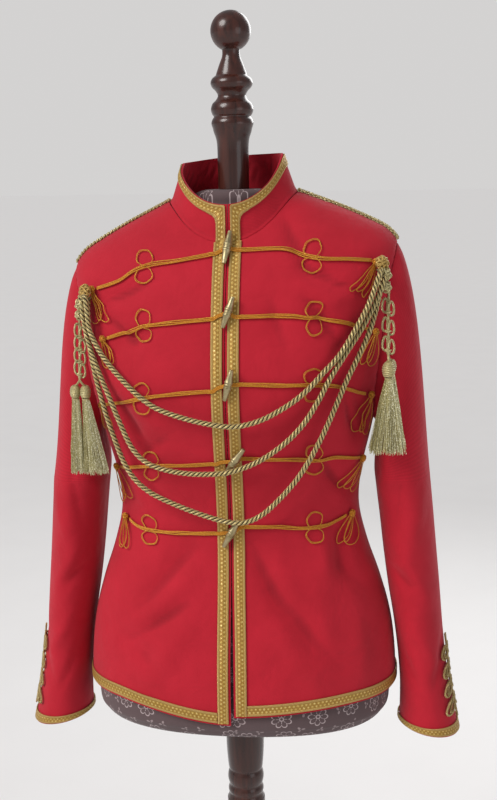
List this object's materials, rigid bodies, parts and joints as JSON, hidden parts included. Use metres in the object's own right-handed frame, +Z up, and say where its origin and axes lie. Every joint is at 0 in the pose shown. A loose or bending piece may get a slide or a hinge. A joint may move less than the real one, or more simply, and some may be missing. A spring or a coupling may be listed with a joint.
{
  "type": "circus jacket on a limbless dress form with a turned stand",
  "caption": "Red stand-collar circus jacket with gold braid, corded frogging, rope swags and tassels, on a limbless dress form with a turned wooden stand.",
  "frame": {"origin": "centre of the underside of the stand's round base, where it rests on the floor", "axes": "+Z up along the stand's pole, -Y out of the jacket's front, +X to the wearer's left"},
  "size_m": [0.5932, 0.3722, 1.6871],
  "materials": {
    "red_cloth": "matte crimson cotton twill",
    "form_cloth": "matte grey brown printed cotton",
    "dark_wood": "dark red brown varnish, satin gloss",
    "gold_braid": "woven metallic gold braid",
    "frog_cord": "orange gold soutache cord, soft sheen",
    "pale_cord": "twisted pale gold rayon and lurex cord",
    "toggle_metal": "pale brushed brass"
  },
  "bodies": {
    "root": {"front_left": "red_cloth", "front_right": "red_cloth", "back": "red_cloth", "sleeve_left": "red_cloth", "sleeve_right": "red_cloth", "collar": "red_cloth", "braid_front_left": "gold_braid", "braid_front_right": "gold_braid", "braid_hem_left": "gold_braid", "braid_hem_right": "gold_braid", "braid_hem_back": "gold_braid", "braid_collar": "gold_braid", "braid_cuff_left": "gold_braid", "braid_cuff_right": "gold_braid", "dress_form": "form_cloth", "finial": "dark_wood", "pole": "dark_wood", "base": "dark_wood", "frog_1_left": "frog_cord", "drop_1_left": "frog_cord", "frog_2_left": "frog_cord", "drop_2_left": "frog_cord", "frog_3_left": "frog_cord", "drop_3_left": "frog_cord", "frog_4_left": "frog_cord", "drop_4_left": "frog_cord", "frog_5_left": "frog_cord", "drop_5_left": "frog_cord", "rosette_left": "frog_cord", "chain_left": "pale_cord", "shoulder_cord_left": "pale_cord", "cuff_knot_left": "pale_cord", "frog_1_right": "frog_cord", "drop_1_right": "frog_cord", "frog_2_right": "frog_cord", "drop_2_right": "frog_cord", "frog_3_right": "frog_cord", "drop_3_right": "frog_cord", "frog_4_right": "frog_cord", "drop_4_right": "frog_cord", "frog_5_right": "frog_cord", "drop_5_right": "frog_cord", "rosette_right": "frog_cord", "chain_right": "pale_cord", "shoulder_cord_right": "pale_cord", "cuff_knot_right": "pale_cord", "tassel_right_outer": "pale_cord", "tassel_right_inner": "pale_cord", "tassel_left_front": "pale_cord", "tassel_left_behind": "pale_cord", "swag_1": "pale_cord", "swag_2": "pale_cord", "swag_3": "pale_cord", "toggle_1": "toggle_metal", "toggle_2": "toggle_metal", "toggle_3": "toggle_metal", "toggle_4": "toggle_metal", "toggle_5": "toggle_metal"}
  },
  "joints": []
}
